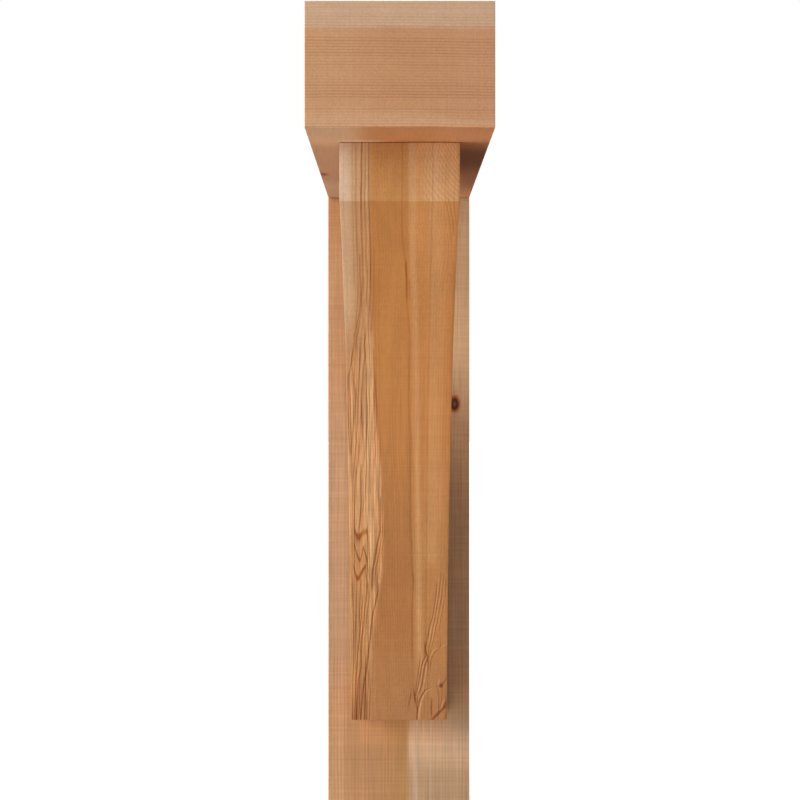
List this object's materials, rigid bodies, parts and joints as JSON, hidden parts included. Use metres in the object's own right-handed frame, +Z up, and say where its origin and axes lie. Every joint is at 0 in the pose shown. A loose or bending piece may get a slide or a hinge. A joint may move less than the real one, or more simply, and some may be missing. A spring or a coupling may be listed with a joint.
{
  "type": "wood bracket",
  "caption": "Square-ended timber wall bracket: a back plate, a level outlooker on top of it and a narrower arched brace between them, in smooth cedar.",
  "frame": {"origin": "middle of the back plate's wall face, which is the plane y = 0", "axes": "+Y into the wall, so the bracket reaches out along -Y; +Z up; +X to the right as seen from the front"},
  "size_m": [0.1524, 0.762, 0.762],
  "materials": {
    "cedar_outlooker": "matte",
    "cedar_plate": "matte",
    "cedar_brace": "matte"
  },
  "bodies": {
    "root": {"top_outlooker": "cedar_outlooker", "back_plate": "cedar_plate", "arched_brace": "cedar_brace"}
  },
  "joints": []
}
